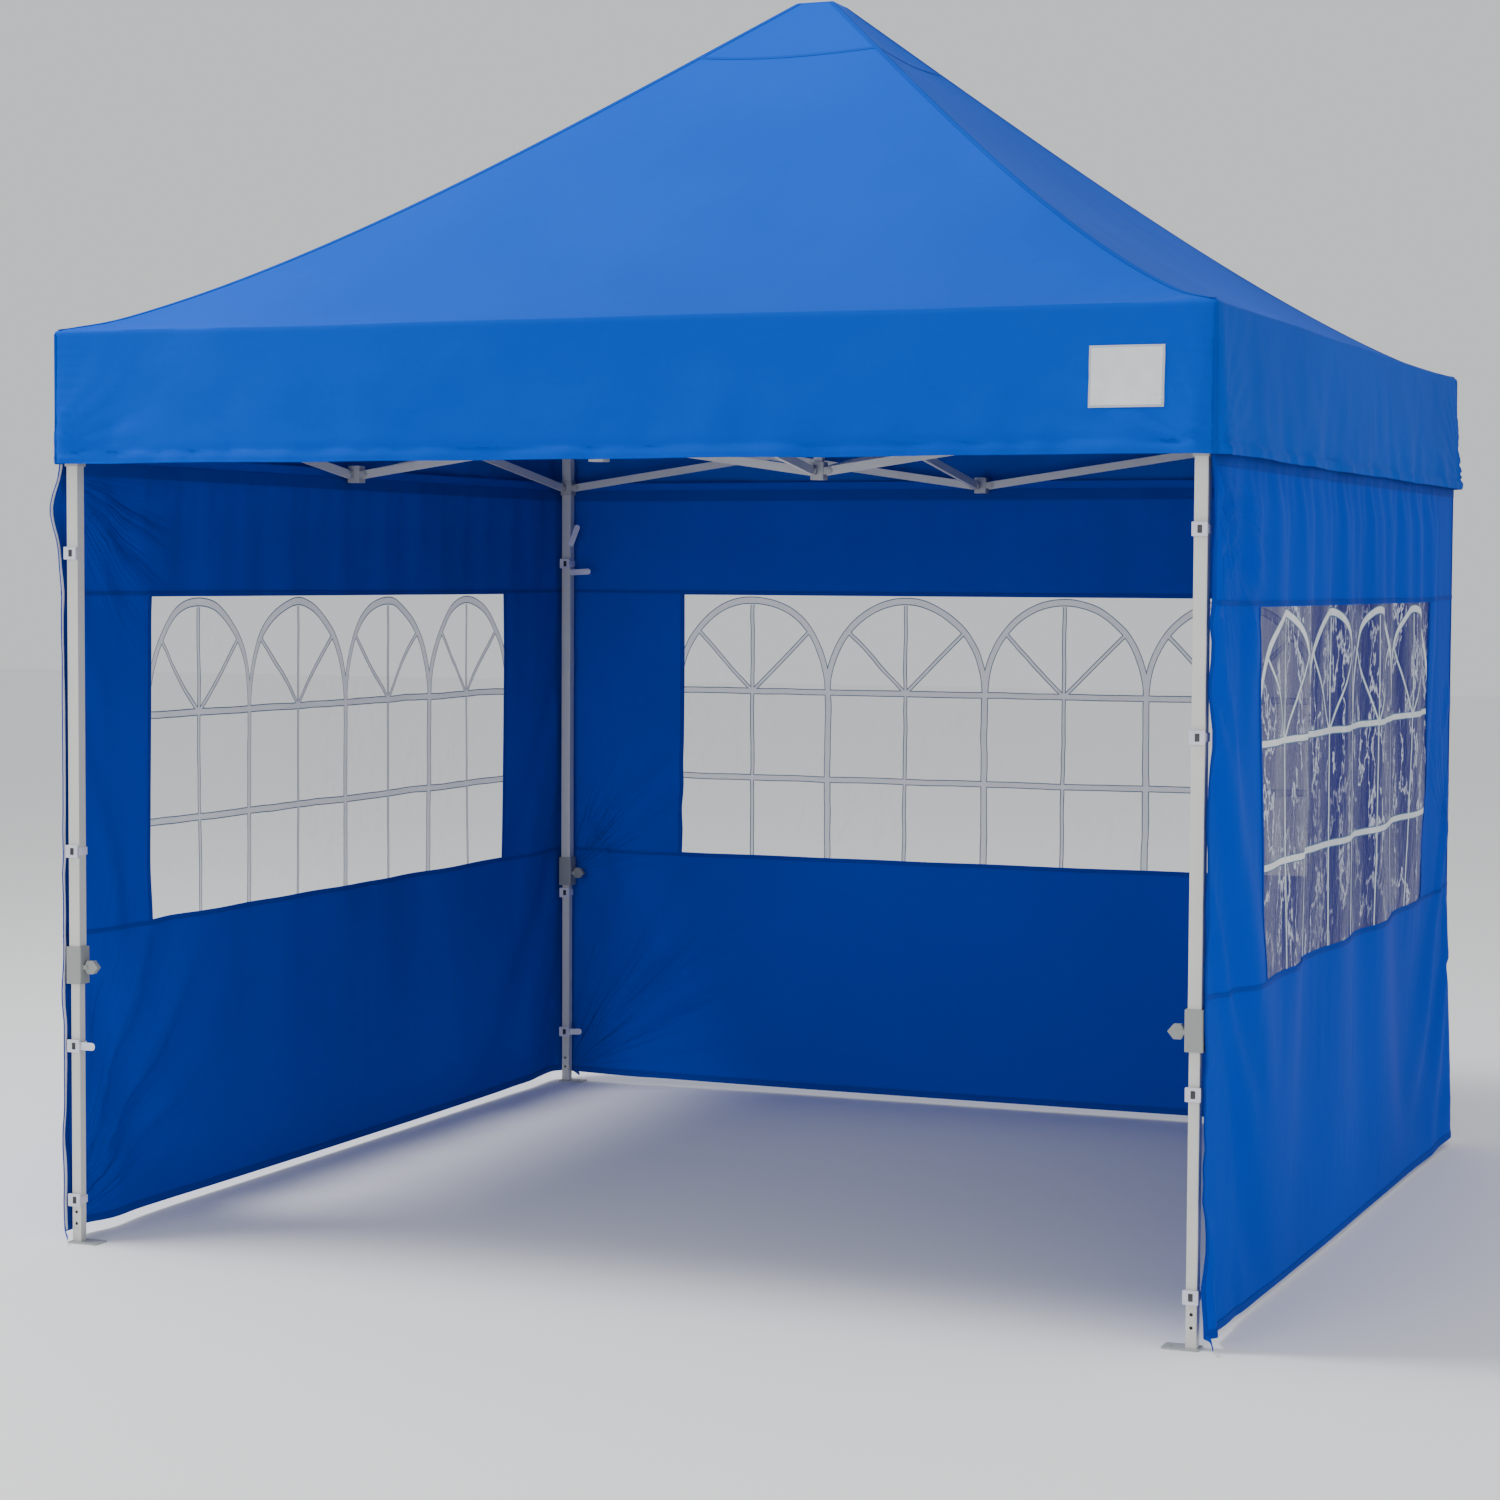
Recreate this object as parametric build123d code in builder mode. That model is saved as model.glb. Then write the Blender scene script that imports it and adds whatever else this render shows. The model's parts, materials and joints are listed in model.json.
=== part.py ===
from build123d import *
import math
import os

os.makedirs("parts", exist_ok=True)

# Pop up canopy, 3 m square. The origin is on the ground under the middle of the canopy.
# The open front faces -Y, +X is to the right and +Z is up. All sizes are in millimetres.

# Fabric top
fabric_half = 1500.0
fabric_thickness = 1.5
eave_height = 2330.0
peak_height = 3300.0
valance_drop = 335.0
roof_dip = 0.088
roof_dip_skew = 0.7
roof_steps = 8

# Side walls and their clear windows
wall_thickness = 1.5
wall_gap = 0.8
wall_bottom = 30.0
wall_overlap = 35.0
wall_end_gap = 10.0
window_bottom = 800.0
window_width = 2110.0
window_height = 860.0
film_thickness = 0.5
film_margin = 10.0

# Legs
outer_leg_side = 32.0
outer_leg_wall = 1.2
outer_leg_bottom = 705.0
leg_top_gap = 12.0
leg_cap_height = 6.0
leg_cap_lip = 2.0
leg_gap = 1.8
inner_leg_wall = 1.2
leg_overlap = 255.0
guide_height = 30.0
tube_corner = 2.0
slide_clearance = 0.05

# Feet
foot_thickness = 4.0
foot_width = 56.0
foot_outer_reach = 19.0
foot_inner_reach = 66.0
foot_corner = 6.0
stake_hole_radius = 6.0
stake_hole_reach = 46.0
tether_hole_radius = 4.0
tether_hole_heights = (50.0, 80.0)

# Truss bars and their pivots
truss_rise = 200.0
lower_pivot_lift = 20.0
bar_height = 24.0
bar_thickness = 12.0
bar_wall = 1.0
bar_overhang = 8.0
bolt_radius = 3.0
bolt_head_radius = 5.5
bolt_head_height = 3.0
pivot_clearance = 0.08
cheek_thickness = 3.0
cheek_radius = 10.0
cheek_gap = 0.5
swing_gap = 0.6
spacer_radius = 8.0
spacer_gap = 0.1

# Bracket cores, hubs and sliders
core_wall = 4.0
core_height = 50.0
core_corner = 4.0
arm_root = 1.0

# Slider pull knobs
boss_radius = 9.0
boss_height = 2.0
knob_radius = 8.0
knob_cap = 4.0
knob_seat_gap = 0.5
knob_stem_radius = 4.5
knob_leg_gap = 0.5
knob_travel = 3.5
knob_wall_gap = 1.0

# Leg locks
lock_wall = 6.0
lock_height = 95.0
lock_drop = 35.0
lever_thickness = 16.0
lever_gap = 8.0
lever_side_gap = 0.3
lever_drop = 5.0
lever_ear_radius = 5.5
lever_pin_radius = 2.0
lever_outline = ((-4, -6), (-4, 6), (3, 17), (20, 17), (34, 0), (20, -17), (3, -17))

# Peak pole and cap
pole_side = 25.0
pole_wall = 1.2
pole_length = 1100.0
pole_travel = 190.0
pole_insertion = 150.0
cap_radius = 50.0
cap_thickness = 10.0
cap_edge = 3.0
cap_collar_wall = 6.0
cap_collar_height = 30.0
cap_gap = 0.5

# Derived sizes
core_half = outer_leg_side / 2 + core_wall
bar_swing = math.hypot(bar_height / 2, bar_overhang)
pivot_offset = core_half + bar_swing + swing_gap
knob_reach = core_half + boss_height + knob_seat_gap + knob_cap + knob_travel
valance_inner = fabric_half - fabric_thickness
wall_outer = valance_inner - wall_gap
wall_inner = wall_outer - wall_thickness
wall_end = fabric_half - wall_end_gap
leg_centre = wall_inner - knob_wall_gap - knob_reach
valance_bottom = eave_height - valance_drop
wall_top = valance_bottom + wall_overlap
lower_pivot = valance_bottom + lower_pivot_lift
upper_pivot = lower_pivot + truss_rise
pivot_run = leg_centre - 2 * pivot_offset
pivot_span = math.hypot(pivot_run, truss_rise)
bar_length = pivot_span + 2 * bar_overhang
rest_angle = math.atan2(truss_rise, pivot_run)
bar_middle = cheek_thickness / 2 + cheek_gap + bar_thickness / 2
outer_cheek = bar_middle + bar_thickness / 2 + cheek_gap + cheek_thickness / 2
pivot_hole_radius = bolt_radius + pivot_clearance
outer_leg_top = eave_height - leg_top_gap
inner_leg_side = outer_leg_side - 2 * outer_leg_wall - 2 * leg_gap
inner_leg_top = outer_leg_bottom + leg_overlap
guide_side = outer_leg_side - 2 * outer_leg_wall - 2 * slide_clearance
lock_half = outer_leg_side / 2 + lock_wall
lock_bottom = outer_leg_bottom - lock_drop
lever_offset = lock_half + lever_gap
lever_height = lock_bottom + lock_height / 2 - lever_drop
lever_ear = lever_thickness / 2 + lever_side_gap + cheek_thickness / 2
pole_top = lower_pivot + pole_length
peak_tube_side = pole_side - 2 * pole_wall - 2 * slide_clearance
cap_top = peak_height - fabric_thickness - cap_gap

corners = {
    "front_left": (-1, -1),
    "front_right": (1, -1),
    "back_left": (-1, 1),
    "back_right": (1, 1),
}
corner_names = {place: name for name, place in corners.items()}
middles = {
    "front": (0, -1),
    "back": (0, 1),
    "left": (-1, 0),
    "right": (1, 0),
}
# The side of each leg that its slider's pull knob is on
knob_sides = {
    "front_left": (0, -1),
    "front_right": (0, -1),
    "back_left": (-1, 0),
    "back_right": (1, 0),
}


def across(along):
    """The direction that a pivot runs in, square to a bar that points along."""
    return (-along[1], along[0], 0)


def upright_plane(x, y, height, along):
    """The upright plane of one truss, with its normal on the pivots' axis."""
    return Plane(origin=(x, y, height), x_dir=(along[0], along[1], 0), z_dir=across(along))


def write_node(name, pieces):
    """Writes the separate solids of one node to its STEP file."""
    if len(pieces) == 1:
        node = pieces[0]
    else:
        node = Compound([solid for piece in pieces for solid in piece.solids()])
    node.label = name
    export_step(node, f"parts/{name}.step")


def square_tube(x, y, side, wall, low, high):
    with BuildPart() as tube:
        with BuildSketch(Plane.XY.offset(low)):
            with Locations((x, y)):
                RectangleRounded(side, side, tube_corner)
                Rectangle(side - 2 * wall, side - 2 * wall, mode=Mode.SUBTRACT)
        extrude(amount=high - low)
    return tube.part


def bolt(plane, low, high):
    """A bolt on the plane's normal, with a head outside each of the two faces."""
    with BuildPart() as fastener:
        with BuildSketch(plane.offset(low)):
            Circle(bolt_radius)
        extrude(amount=high - low)
        for face_offset in (low - bolt_head_height, high):
            with BuildSketch(plane.offset(face_offset)):
                Circle(bolt_head_radius)
            extrude(amount=bolt_head_height)
    return fastener.part


def bracket(x, y, height, directions, bar_side, bore_side):
    """A moulded core with one two-cheeked arm for each bar that pivots on it."""
    with BuildPart() as moulding:
        with BuildSketch(Plane.XY.offset(height - core_height / 2)):
            with Locations((x, y)):
                RectangleRounded(2 * core_half, 2 * core_half, core_corner)
                if bore_side:
                    Rectangle(bore_side, bore_side, mode=Mode.SUBTRACT)
        extrude(amount=core_height)
        for along in directions:
            plane = upright_plane(x, y, height, along)
            for middle in (0, bar_side * outer_cheek):
                with BuildSketch(plane.offset(middle - cheek_thickness / 2)):
                    with Locations(((pivot_offset + core_half - arm_root) / 2, 0)):
                        Rectangle(pivot_offset - core_half + arm_root, 2 * cheek_radius)
                    with Locations((pivot_offset, 0)):
                        Circle(cheek_radius)
                        Circle(bolt_radius, mode=Mode.SUBTRACT)
                extrude(amount=cheek_thickness)
    return moulding.part


def pivot_bolts(x, y, height, directions, bar_side):
    """The bolts through a bracket's arms."""
    bolts = []
    near = -bar_side * cheek_thickness / 2
    far = bar_side * (outer_cheek + cheek_thickness / 2)
    for along in directions:
        pivot_x = x + along[0] * pivot_offset
        pivot_y = y + along[1] * pivot_offset
        plane = upright_plane(pivot_x, pivot_y, height, along)
        bolts.append(bolt(plane, min(near, far), max(near, far)))
    return bolts


def bar(plane, cross_hole_radius):
    """A rectangular tube with a pivot hole near each end and one at the crossing."""
    with BuildPart() as tube:
        with BuildSketch(plane):
            Rectangle(bar_length, bar_height)
        extrude(amount=bar_thickness / 2, both=True)
        with BuildSketch(plane):
            Rectangle(bar_length, bar_height - 2 * bar_wall)
        extrude(amount=bar_thickness / 2 - bar_wall, both=True, mode=Mode.SUBTRACT)
        with BuildSketch(plane):
            with Locations((-pivot_span / 2, 0), (pivot_span / 2, 0)):
                Circle(pivot_hole_radius)
            Circle(cross_hole_radius)
        extrude(amount=bar_thickness, both=True, mode=Mode.SUBTRACT)
    return tube.part


def truss(name, x, y, along):
    """Two crossed bars from the node at x, y to the next node along."""
    middle_x = x + along[0] * leg_centre / 2
    middle_y = y + along[1] * leg_centre / 2
    middle = Vector(middle_x, middle_y, (upper_pivot + lower_pivot) / 2)
    normal = Vector(*across(along))
    run = Vector(along[0] * pivot_run, along[1] * pivot_run, 0)
    rise = Vector(0, 0, truss_rise)

    falling_plane = Plane(middle + normal * bar_middle, x_dir=run - rise, z_dir=normal)
    rising_plane = Plane(middle - normal * bar_middle, x_dir=run + rise, z_dir=normal)
    outside = bar_middle + bar_thickness / 2
    inside = bar_middle - bar_thickness / 2
    crossing = Plane(middle, x_dir=run, z_dir=normal)
    cross_bolt = bolt(crossing, -outside - spacer_gap, outside)
    with BuildPart() as spacer:
        with BuildSketch(crossing.offset(spacer_gap - inside)):
            Circle(spacer_radius)
            Circle(bolt_radius, mode=Mode.SUBTRACT)
        extrude(amount=2 * inside - spacer_gap)

    write_node(f"bar_{name}_falling", [bar(falling_plane, bolt_radius), cross_bolt, spacer.part])
    write_node(f"bar_{name}_rising", [bar(rising_plane, pivot_hole_radius)])


def lock_housing(x, y, inward):
    """The moulded lock on the foot of an outer leg, with two ears for its lever."""
    with BuildPart() as housing:
        with BuildSketch(Plane.XY.offset(lock_bottom)):
            with Locations((x, y)):
                RectangleRounded(2 * lock_half, 2 * lock_half, core_corner)
        extrude(amount=lock_height)
        plane = upright_plane(x, y, lever_height, inward)
        for middle in (-lever_ear, lever_ear):
            with BuildSketch(plane.offset(middle - cheek_thickness / 2)):
                with Locations(((lever_offset + lock_half - arm_root) / 2, 0)):
                    Rectangle(lever_offset - lock_half + arm_root, 2 * lever_ear_radius)
                with Locations((lever_offset, 0)):
                    Circle(lever_ear_radius)
                    Circle(lever_pin_radius, mode=Mode.SUBTRACT)
            extrude(amount=cheek_thickness)
        with BuildSketch(Plane.XY.offset(lock_bottom)):
            with Locations((x, y)):
                inner_bore = inner_leg_side + 2 * slide_clearance
                Rectangle(inner_bore, inner_bore)
        extrude(amount=lock_height, mode=Mode.SUBTRACT)
        with BuildSketch(Plane.XY.offset(outer_leg_bottom)):
            with Locations((x, y)):
                Rectangle(outer_leg_side, outer_leg_side)
        extrude(amount=lock_height, mode=Mode.SUBTRACT)
    return housing.part


def lock_lever(x, y, inward):
    """The lever that frees the lower leg, pointed towards the inside of the canopy."""
    pivot_x = x + inward[0] * lever_offset
    plane = upright_plane(pivot_x, y, lever_height, inward)
    with BuildPart() as lever:
        with BuildSketch(plane):
            with BuildLine():
                Polyline(*lever_outline, close=True)
            make_face()
            Circle(lever_pin_radius + pivot_clearance, mode=Mode.SUBTRACT)
        extrude(amount=lever_thickness / 2, both=True)
    return lever.part


def lever_pin(x, y, inward):
    pivot_x = x + inward[0] * lever_offset
    plane = upright_plane(pivot_x, y, lever_height, inward)
    with BuildPart() as pin:
        with BuildSketch(plane):
            Circle(lever_pin_radius)
        extrude(amount=lever_ear + cheek_thickness / 2, both=True)
    return pin.part


def lower_leg(x, y, inward):
    """The inner leg tube, with cross holes for a tether above the foot."""
    with BuildPart() as leg:
        add(square_tube(x, y, inner_leg_side, inner_leg_wall, foot_thickness, inner_leg_top))
        with BuildSketch(Plane.XZ.offset(-y)):
            for height in tether_hole_heights:
                with Locations((x, height)):
                    Circle(tether_hole_radius)
        extrude(amount=inner_leg_side, both=True, mode=Mode.SUBTRACT)

    with BuildPart() as foot:
        foot_length = foot_inner_reach + foot_outer_reach
        foot_middle = x + inward[0] * (foot_inner_reach - foot_outer_reach) / 2
        with BuildSketch(Plane.XY):
            with Locations((foot_middle, y)):
                RectangleRounded(foot_length, foot_width, foot_corner)
            with Locations((x + inward[0] * stake_hole_reach, y)):
                Circle(stake_hole_radius, mode=Mode.SUBTRACT)
        extrude(amount=foot_thickness)

    with BuildPart() as guide:
        with BuildSketch(Plane.XY.offset(inner_leg_top - guide_height)):
            with Locations((x, y)):
                Rectangle(guide_side, guide_side)
                Rectangle(inner_leg_side, inner_leg_side, mode=Mode.SUBTRACT)
        extrude(amount=guide_height)
    return [leg.part, foot.part, guide.part]


def slider(x, y, directions, knob_side):
    """The collar that runs on the outer leg, with a boss for its pull knob."""
    with BuildPart() as collar:
        add(bracket(x, y, lower_pivot, directions, -1, outer_leg_side + 2 * slide_clearance))
        plane = Plane(origin=(x, y, lower_pivot), x_dir=(0, 0, 1), z_dir=(*knob_side, 0))
        with BuildSketch(plane.offset(core_half - arm_root)):
            Circle(boss_radius)
        extrude(amount=boss_height + arm_root)
        with BuildSketch(plane.offset(outer_leg_side / 2)):
            Circle(knob_stem_radius + slide_clearance)
        extrude(amount=core_wall + boss_height, mode=Mode.SUBTRACT)
    return collar.part


def pull_knob(x, y, knob_side):
    seat = core_half + boss_height + knob_seat_gap
    stem_start = outer_leg_side / 2 + knob_leg_gap
    plane = Plane(origin=(x, y, lower_pivot), x_dir=(0, 0, 1), z_dir=(*knob_side, 0))
    with BuildPart() as knob:
        with BuildSketch(plane.offset(stem_start)):
            Circle(knob_stem_radius)
        extrude(amount=seat - stem_start)
        with BuildSketch(plane.offset(seat)):
            Circle(knob_radius)
        extrude(amount=knob_cap)
    return knob.part


# Hubs: the upper one slides on the peak pole, and the lower one holds its foot
inner_directions = list(middles.values())
upper_bore = pole_side + 2 * slide_clearance
upper_hub = bracket(0, 0, upper_pivot, inner_directions, 1, upper_bore)
lower_hub = bracket(0, 0, lower_pivot, inner_directions, -1, pole_side)
write_node("hub_upper", [upper_hub, *pivot_bolts(0, 0, upper_pivot, inner_directions, 1)])
write_node("hub_lower", [lower_hub, *pivot_bolts(0, 0, lower_pivot, inner_directions, -1)])

# Peak pole: a lower tube in the lower hub, and a sprung tube with the cap that slides in it
pole_bottom = lower_pivot - core_height / 2
write_node("peak_pole", [square_tube(0, 0, pole_side, pole_wall, pole_bottom, pole_top)])
tube_bottom = pole_top - pole_travel - pole_insertion
tube_top = cap_top - cap_thickness
peak_tube = square_tube(0, 0, peak_tube_side, pole_wall, tube_bottom, tube_top)
with BuildPart() as peak_cap:
    with BuildSketch(Plane.XY.offset(tube_top)):
        Circle(cap_radius)
    extrude(amount=cap_thickness)
    fillet(peak_cap.edges().sort_by(Axis.Z)[-1], cap_edge)
    with BuildSketch(Plane.XY.offset(tube_top)):
        Circle(peak_tube_side / 2 + cap_collar_wall)
        Rectangle(peak_tube_side, peak_tube_side, mode=Mode.SUBTRACT)
    extrude(amount=-cap_collar_height)
write_node("peak_tube_and_cap", [peak_tube, peak_cap.part])

# Four trusses from the hubs to the middle of each side
for name, along in middles.items():
    truss(f"centre_{name}", 0, 0, along)

# The brackets in the middle of each side, and the trusses from them to the corners
for name, outward in middles.items():
    x = outward[0] * leg_centre
    y = outward[1] * leg_centre
    sideways = [(outward[1], outward[0]), (-outward[1], -outward[0])]
    directions = [*sideways, (-outward[0], -outward[1])]
    for level, height, bar_side in (("upper", upper_pivot, 1), ("lower", lower_pivot, -1)):
        side_bracket = bracket(x, y, height, directions, bar_side, 0)
        bolts = pivot_bolts(x, y, height, directions, bar_side)
        write_node(f"bracket_{level}_{name}", [side_bracket, *bolts])
    for along in sideways:
        truss(f"{name}_to_{corner_names[outward[0] + along[0], outward[1] + along[1]]}", x, y, along)

# Legs, their locks, feet and sliders
for name, place in corners.items():
    x = place[0] * leg_centre
    y = place[1] * leg_centre
    inward = (-place[0], 0)
    directions = [inward, (0, -place[1])]

    tube = square_tube(x, y, outer_leg_side, outer_leg_wall, outer_leg_bottom, outer_leg_top)
    with BuildPart() as leg_cap:
        with BuildSketch(Plane.XY.offset(outer_leg_top)):
            with Locations((x, y)):
                cap_side = outer_leg_side + 2 * leg_cap_lip
                RectangleRounded(cap_side, cap_side, core_corner)
        extrude(amount=leg_cap_height)
    corner_bracket = bracket(x, y, upper_pivot, directions, 1, outer_leg_side)
    corner_bolts = pivot_bolts(x, y, upper_pivot, directions, 1)
    housing = lock_housing(x, y, inward)
    pin = lever_pin(x, y, inward)
    write_node(f"outer_leg_{name}", [tube, leg_cap.part, corner_bracket, *corner_bolts, housing, pin])

    write_node(f"lower_leg_{name}", lower_leg(x, y, inward))
    write_node(f"lock_lever_{name}", [lock_lever(x, y, inward)])

    collar = slider(x, y, directions, knob_sides[name])
    collar_bolts = pivot_bolts(x, y, lower_pivot, directions, -1)
    write_node(f"slider_{name}", [collar, *collar_bolts])
    write_node(f"slider_knob_{name}", [pull_knob(x, y, knob_sides[name])])

# Canopy top: four gores that meet on the diagonal ridges, and four valance panels
ridge_half = cap_radius
roof_rise = peak_height - eave_height
roof_levels = [(fabric_half, eave_height - fabric_thickness)]
for step in range(roof_steps + 1):
    share = step / roof_steps
    dip = roof_dip * math.sin(math.pi * share**roof_dip_skew)
    half = fabric_half + share * (ridge_half - fabric_half)
    roof_levels.append((half, eave_height + roof_rise * (share - dip)))

fabric_pieces = []
for name, outward in middles.items():
    with BuildPart() as gore:
        for half, height in roof_levels:
            with BuildSketch(Plane.XY.offset(height)):
                Rectangle(2 * half, 2 * half)
        loft(ruled=True)
        for half, height in roof_levels[1:]:
            with BuildSketch(Plane.XY.offset(height - fabric_thickness)):
                Rectangle(2 * half, 2 * half)
        loft(ruled=True, mode=Mode.SUBTRACT)
        with BuildSketch(Plane.XY):
            with BuildLine():
                left = (outward[0] - outward[1], outward[1] + outward[0])
                right = (outward[0] + outward[1], outward[1] - outward[0])
                reach = 2 * fabric_half
                ridge_ends = [(end[0] * reach, end[1] * reach) for end in (left, right)]
                Polyline((0, 0), *ridge_ends, close=True)
            make_face()
        extrude(amount=2 * peak_height, mode=Mode.INTERSECT)
    fabric_pieces.append(gore.part)

    panel_half = fabric_half - (fabric_thickness if outward[0] else 0)
    with BuildPart() as valance:
        with BuildSketch(Plane.XY.offset(valance_bottom)):
            middle = fabric_half - fabric_thickness / 2
            width = fabric_thickness if outward[0] else 2 * panel_half
            depth = 2 * panel_half if outward[0] else fabric_thickness
            with Locations((outward[0] * middle, outward[1] * middle)):
                Rectangle(width, depth)
        extrude(amount=valance_drop - fabric_thickness)
    fabric_pieces.append(valance.part)
write_node("canopy_top", fabric_pieces)

# Side walls: a fabric panel with one long window, and a clear film behind it
for name in ("left", "right", "back"):
    outward = middles[name]
    face_plane = Plane(
        origin=(outward[0] * wall_inner, outward[1] * wall_inner, 0),
        x_dir=across(outward),
        z_dir=(*outward, 0),
    )
    up = -1 if face_plane.y_dir.Z < 0 else 1
    with BuildPart() as panel:
        with BuildSketch(face_plane):
            with Locations((0, up * (wall_top + wall_bottom) / 2)):
                Rectangle(2 * wall_end, wall_top - wall_bottom)
            with Locations((0, up * (window_bottom + window_height / 2))):
                Rectangle(window_width, window_height, mode=Mode.SUBTRACT)
        extrude(amount=wall_thickness)
    with BuildPart() as film:
        with BuildSketch(face_plane):
            with Locations((0, up * (window_bottom + window_height / 2))):
                Rectangle(window_width + 2 * film_margin, window_height + 2 * film_margin)
        extrude(amount=-film_thickness)
    write_node(f"wall_{name}", [panel.part, film.part])

print(f"bar pivots {pivot_span:.3f} apart, rest angle {math.degrees(rest_angle):.3f} degrees")
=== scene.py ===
import json
import math
import bpy
import numpy as np
from mathutils import Matrix, Vector, noise

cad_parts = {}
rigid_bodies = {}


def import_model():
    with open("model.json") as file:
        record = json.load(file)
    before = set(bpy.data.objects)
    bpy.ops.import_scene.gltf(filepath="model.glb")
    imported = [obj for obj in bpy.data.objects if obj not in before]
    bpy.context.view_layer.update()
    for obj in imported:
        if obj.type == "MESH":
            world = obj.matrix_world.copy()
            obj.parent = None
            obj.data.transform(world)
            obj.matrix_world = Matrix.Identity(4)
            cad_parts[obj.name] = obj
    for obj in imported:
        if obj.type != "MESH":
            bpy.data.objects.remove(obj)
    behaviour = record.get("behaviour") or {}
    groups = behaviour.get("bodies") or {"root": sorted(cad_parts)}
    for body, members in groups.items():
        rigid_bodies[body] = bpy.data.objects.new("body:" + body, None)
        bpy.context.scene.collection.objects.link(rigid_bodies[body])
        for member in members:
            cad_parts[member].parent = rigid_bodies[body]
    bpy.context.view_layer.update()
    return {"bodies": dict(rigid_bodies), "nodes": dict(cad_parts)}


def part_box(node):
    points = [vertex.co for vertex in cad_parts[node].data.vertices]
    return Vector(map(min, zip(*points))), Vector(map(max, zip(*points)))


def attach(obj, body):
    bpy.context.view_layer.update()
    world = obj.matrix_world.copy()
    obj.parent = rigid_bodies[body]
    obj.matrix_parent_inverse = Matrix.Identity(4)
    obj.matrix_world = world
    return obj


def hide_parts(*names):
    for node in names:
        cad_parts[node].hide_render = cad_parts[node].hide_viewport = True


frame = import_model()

# Places that come from the frame
roofLow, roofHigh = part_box("canopy_top")
clothHalf = roofHigh.x
peakZ = roofHigh.z
valanceBottom = roofLow.z
knobLow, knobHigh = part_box("slider_knob_front_right")
legCentre = (knobLow.x + knobHigh.x) / 2
wallLow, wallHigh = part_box("wall_back")
wallPlane = (wallLow.y + wallHigh.y) / 2
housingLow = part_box("outer_leg_front_right")[0].z

corners = {
    "front_left": (-1, -1),
    "front_right": (1, -1),
    "back_left": (-1, 1),
    "back_right": (1, 1),
}
sides = {
    "front": (0, -1),
    "right": (1, 0),
    "back": (0, 1),
    "left": (-1, 0),
}


# Finishes

class Wire:
    # one socket of a finish, with the arithmetic that the patterns use
    def __init__(self, finish, socket):
        self.finish = finish
        self.socket = socket

    def maths(self, operation, *others):
        inputs = {0: self}
        inputs.update({place + 1: other for place, other in enumerate(others)})
        return self.finish.node("ShaderNodeMath", {"operation": operation}, inputs)

    def __add__(self, other):
        return self.maths("ADD", other)

    def __radd__(self, other):
        return self.maths("ADD", other)

    def __sub__(self, other):
        return self.maths("SUBTRACT", other)

    def __rsub__(self, other):
        return self.maths("MULTIPLY_ADD", -1.0, other)

    def __mul__(self, other):
        return self.maths("MULTIPLY", other)

    def __rmul__(self, other):
        return self.maths("MULTIPLY", other)

    def __truediv__(self, other):
        return self.maths("DIVIDE", other)

    def below(self, other):
        return self.maths("LESS_THAN", other)

    def above(self, other):
        return self.maths("GREATER_THAN", other)

    def smaller(self, other):
        return self.maths("MINIMUM", other)

    def larger(self, other):
        return self.maths("MAXIMUM", other)

    def size(self):
        return self.maths("ABSOLUTE")


class Finish:
    def __init__(self, name):
        self.material = bpy.data.materials.new(name)
        self.material.use_nodes = True
        self.tree = self.material.node_tree
        self.tree.nodes.clear()

    def node(self, kind, settings=None, inputs=None, output=0):
        made = self.tree.nodes.new(kind)
        for name, value in (settings or {}).items():
            setattr(made, name, value)
        for name, value in (inputs or {}).items():
            if isinstance(value, Wire):
                self.tree.links.new(value.socket, made.inputs[name])
            else:
                made.inputs[name].default_value = value
        return Wire(self, made.outputs[output])

    def place(self):
        return self.node("ShaderNodeTexCoord", output="Object")

    def sheetPlace(self):
        return self.node("ShaderNodeUVMap", {"uv_map": "UVMap"})

    def parts(self, vector):
        split = self.node("ShaderNodeSeparateXYZ", {}, {0: vector})
        outputs = split.socket.node.outputs
        return [Wire(self, outputs[place]) for place in range(3)]

    def stretched(self, vector, scale):
        return self.node("ShaderNodeVectorMath", {"operation": "MULTIPLY"}, {0: vector, 1: scale})

    def speckle(self, vector, scale, detail=3.0, roughness=0.5):
        inputs = {"Vector": vector, "Scale": scale, "Detail": detail, "Roughness": roughness}
        return self.node("ShaderNodeTexNoise", {}, inputs)

    def blend(self, factor, first, second):
        inputs = {0: factor, 6: first, 7: second}
        return self.node("ShaderNodeMix", {"data_type": "RGBA"}, inputs, 2)

    def bump(self, height, distance, strength=1.0, normal=None):
        inputs = {"Height": height, "Distance": distance, "Strength": strength}
        if normal is not None:
            inputs["Normal"] = normal
        return self.node("ShaderNodeBump", {}, inputs)

    def surface(self, inputs):
        shader = self.node("ShaderNodeBsdfPrincipled", {}, inputs)
        output = self.tree.nodes.new("ShaderNodeOutputMaterial")
        self.tree.links.new(shader.socket, output.inputs["Surface"])
        return self.material


def shaded(colour, share):
    return tuple(value * share for value in colour[:3]) + (1,)


clothLook = {
    "roofColour": (0.0, 0.066, 0.47, 1),
    # the walls are the roof's own fabric, painted a little darker in colour as painted shade
    "wallShadedColour": (0.0, 0.050, 0.48, 1),
    "threadPitch": 0.0011,
    "threadDepth": 0.00006,
    "creaseDepth": 0.006,
    "creaseScale": 7.0,
    "fanDepth": 0.014,
    "roughness": 0.58,
    "shine": 0.03,
    "shineTint": (0.12, 0.42, 1.0, 1),
}


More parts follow.
